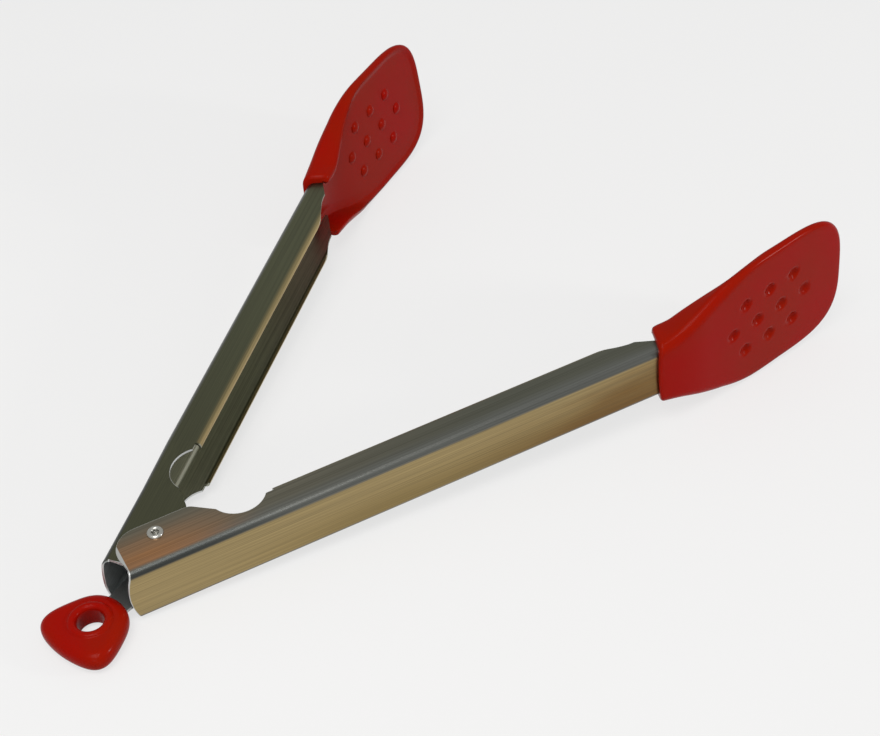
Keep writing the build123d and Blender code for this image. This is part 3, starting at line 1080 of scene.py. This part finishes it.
# %% Path of the coil
COIL_RADIUS = 5.2
COIL_PITCH = 2.1
COIL_LOW = 1.6
COIL_FULL_TURNS = 4
COIL_EASE = pi / 2
LEG_SPLAY = radians(20)
LEG_ANGLE = HALF_ANGLE + LEG_SPLAY
COIL_TURN = 2 * pi * COIL_FULL_TURNS + pi - 2 * LEG_ANGLE
COIL_START = -LEG_ANGLE - pi / 2


def coil_height(turned):
    if turned < COIL_EASE:
        risen = turned**2 / (2 * COIL_EASE)
    elif turned > COIL_TURN - COIL_EASE:
        risen = COIL_TURN - COIL_EASE - (COIL_TURN - turned) ** 2 / (2 * COIL_EASE)
    else:
        risen = turned - COIL_EASE / 2
    return COIL_LOW + risen * COIL_PITCH / (2 * pi)


def coil_point(turned):
    turn = COIL_START - turned
    flat = Vector((COIL_RADIUS * cos(turn), COIL_RADIUS * sin(turn), coil_height(turned)))
    return flat + Vector((PIVOT.x, PIVOT.y, 0)) / MM


print("turns of the coil:", round(COIL_TURN / (2 * pi), 2))

# %% Coil of the torsion spring
WIRE_RADIUS = 0.65
WIRE_SIDES = 16
COIL_POINTS = 220


def wire_tree():
    kinds = {"Path": "Object", "Radius": "Float", "Finish": "Material"}
    tree, keys, value = new_tree("drawn_wire", kinds)
    path = value["Path"]
    line = path.node("GeometryNodeObjectInfo", None, {"Object": path}, output=4)
    ring = path.node(
        "GeometryNodeCurvePrimitiveCircle",
        None,
        {"Resolution": WIRE_SIDES, "Radius": value["Radius"]},
    )
    tube = path.node(
        "GeometryNodeCurveToMesh", None, {"Curve": line, "Profile Curve": ring, "Fill Caps": True}
    )
    end_tree(tube, value["Finish"])
    return tree, keys


drawn_wire, wire_keys = wire_tree()


def wire_piece(name, points):
    curve = bpy.data.curves.new(name + "_path", "CURVE")
    curve.dimensions = "3D"
    spline = curve.splines.new("POLY")
    spline.points.add(len(points) - 1)
    for point, place in zip(spline.points, points):
        point.co = (*place, 1)
    path = placed_object(name + "_path", curve)
    made = grown(
        name,
        drawn_wire,
        wire_keys,
        {"Path": path, "Radius": WIRE_RADIUS, "Finish": spring_steel},
        Matrix.Scale(MM, 4),
    )
    bpy.data.objects.remove(path)
    return made


coil_path = [coil_point(COIL_TURN * step / COIL_POINTS) for step in range(COIL_POINTS + 1)]
coil = wire_piece("spring_coil", coil_path)
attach(coil, "spring_unit")
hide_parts("torsion_spring")
print(coil.name, "faces:", len(coil.data.polygons))

# %% Legs of the torsion spring
WALL_LINE = 12.55
LEG_FOOT = 9.0
LEG_OVERLAP = radians(26)
LEG_OVERLAP_POINTS = 6
HEEL_BEND = 2.0
HEEL_POINTS = 9


def leg_points(side):
    turned = 0.0 if side < 0 else COIL_TURN
    stretch = -side * LEG_OVERLAP
    points = [
        coil_point(turned + stretch * step / LEG_OVERLAP_POINTS)
        for step in range(LEG_OVERLAP_POINTS, 0, -1)
    ]
    start = coil_point(turned)
    points.append(start)
    way = Vector((cos(LEG_ANGLE), side * sin(LEG_ANGLE), 0))
    along = Vector((cos(HALF_ANGLE), side * sin(HALF_ANGLE), 0))
    heel = start + way * (WALL_LINE - COIL_RADIUS * cos(LEG_SPLAY)) / sin(LEG_SPLAY)
    before = heel - way * HEEL_BEND
    after = heel + along * HEEL_BEND
    for step in range(1, HEEL_POINTS):
        t = step / HEEL_POINTS
        points.append(before.lerp(heel, t).lerp(heel.lerp(after, t), t))
    points.append(heel + along * LEG_FOOT)
    return points


for arm, side in (("outer", -1), ("inner", 1)):
    leg = wire_piece(arm + "_spring_leg", leg_points(side))
    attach(leg, arm + "_jaw")
    print(leg.name, "faces:", len(leg.data.polygons))

# %% [markdown]
# The tongs lie on a pale floor. The paddles are wider than the arms, so they and the pull tab
# touch the ground and the floor is tilted a little under the model, which itself stays square.
# To the camera and to reflections the floor is mostly plain white, and the rest of it is lit, so
# that the tongs keep their shadow.

# %% Finish of the floor
WHITE = (1, 1, 1)
WHITE_SHARE = 0.68
FLOOR_GREY = (0.62, 0.62, 0.62)
FLOOR_PALE = (0.66, 0.66, 0.66)
FLOOR_CLOUD = (0.2, 0.8)


def rays_of(tree, kinds):
    rays = tree.nodes.new("ShaderNodeLightPath")
    first, *others = [Socket(tree, rays.outputs["Is " + kind + " Ray"]) for kind in kinds]
    return sum(others, first).clamped(0, 1)


floor_material, floor_shader, floor_place = new_finish("pale_floor")
floor_tree = floor_material.node_tree
floor_tone = floor_place.noise(floor_place, scale=3.0, detail=2.0).clamped(*FLOOR_CLOUD)
feed(floor_shader, "Base Color", floor_tone.mixed(FLOOR_GREY, FLOOR_PALE))
floor_shader.inputs["Roughness"].default_value = 0.7
floor_shader.inputs["Specular IOR Level"].default_value = 0.1
looked_at = rays_of(floor_tree, ("Camera", "Glossy", "Transmission"))
white = floor_place.node("ShaderNodeEmission", None, {"Color": (*WHITE, 1), "Strength": 1.0})
lit = Socket(floor_tree, floor_shader.outputs[0])
paler = floor_place.node(
    "ShaderNodeMixShader", None, {0: looked_at * WHITE_SHARE, 1: lit, 2: white}
)
floor_tree.links.new(paler.socket, floor_tree.nodes["Material Output"].inputs["Surface"])
print("white share of the floor:", WHITE_SHARE)

# %% Floor
FLOOR_TILT = 0.0702
FLOOR_AT_HOLE = -0.00519
FLOOR_REACH = 4
floor_mesh = bpy.data.meshes.new("floor")
corners = [
    (x * FLOOR_REACH, y * FLOOR_REACH) for x, y in ((-1, -1), (1, -1), (1, 1), (-1, 1))
]
floor_mesh.from_pydata(
    [(x, y, FLOOR_AT_HOLE - FLOOR_TILT * x) for x, y in corners], [], [(0, 1, 2, 3)]
)
floor_mesh.materials.append(floor_material)
floor = placed_object("floor", floor_mesh)
print("floor at the hanging hole:", FLOOR_AT_HOLE)

# %% [markdown]
# Light: a large soft lamp above, on the camera's side, a weaker one from the left, and a small
# bright one on the right that gives the silicone its highlights. The world is white to the camera.
# A reflection sees an even, slightly warm room in it, so that the steel has something to reflect,
# and for soft light it is dimmer.

# %% World
ROOM_LOW = (0.64, 0.63, 0.60)
ROOM_HIGH = (0.60, 0.60, 0.57)
ROOM_RISE = (-0.05, 0.3)
SOFT_LIGHT = (0.42, 0.42, 0.42)
world = bpy.data.worlds.new("room")
bpy.context.scene.world = world
world.use_nodes = True
world_tree = world.node_tree
directions = world_tree.nodes.new("ShaderNodeTexCoord").outputs["Generated"]
sky = Socket(world_tree, directions)
up = sky.node("ShaderNodeSeparateXYZ", None, {0: sky}, output=2)
room = up.clamped(*ROOM_RISE).mixed(ROOM_LOW, ROOM_HIGH)
shown = rays_of(world_tree, ("Camera", "Transmission")).mixed(room, WHITE)
background = rays_of(world_tree, ("Camera", "Glossy", "Transmission")).mixed(SOFT_LIGHT, shown)
world_tree.links.new(background.socket, world_tree.nodes["Background"].inputs["Color"])
print("world ready")

# %% Lamps
NEUTRAL = (1.0, 0.98, 0.95)
WARM = (1.0, 0.95, 0.88)
MIDDLE = (0.2, 0, 0)
ARMS = (0.1, 0, 0)


def lamp(name, place, target, size, power, colour):
    light = bpy.data.lights.new(name, "AREA")
    light.size = size
    light.energy = power
    light.color = colour
    made = placed_object(name, light)
    made.location = place
    made.rotation_euler = (Vector(target) - Vector(place)).to_track_quat("-Z", "Y").to_euler()


lamp("key", (-0.25, -0.2, 1.0), MIDDLE, size=0.6, power=6.8, colour=NEUTRAL)
lamp("front_left", (-0.9, -0.7, 0.5), ARMS, size=0.6, power=1.6, colour=WARM)
lamp("small_window", (0.65, -0.85, 0.32), MIDDLE, size=0.10, power=2.4, colour=NEUTRAL)
print("lamps: 3")

# %% [markdown]
# The camera stands where the photographer stood: above the hanging hole, looking along the tongs.

# %% Camera
CAMERA_PLACE = (-0.2357, -0.4165, 0.5325)
CAMERA_RIGHT = Vector((0.6432, -0.7607, -0.0878))
CAMERA_UP = Vector((0.5654, 0.3944, 0.7244))
CAMERA_BACK = Vector((-0.5164, -0.5156, 0.6838))
camera_data = bpy.data.cameras.new("camera")
camera_data.sensor_fit = "HORIZONTAL"
camera_data.sensor_width = 36.0
camera_data.lens = 84.13
camera_data.clip_end = 50
camera = placed_object("camera", camera_data)
camera_turn = Matrix((CAMERA_RIGHT, CAMERA_UP, CAMERA_BACK)).transposed().to_4x4()
camera.matrix_world = Matrix.Translation(CAMERA_PLACE) @ camera_turn
bpy.context.scene.camera = camera
bpy.context.scene.view_settings.view_transform = "Standard"
print("camera lens:", camera_data.lens)

# %% End of the scene
print("scene built")
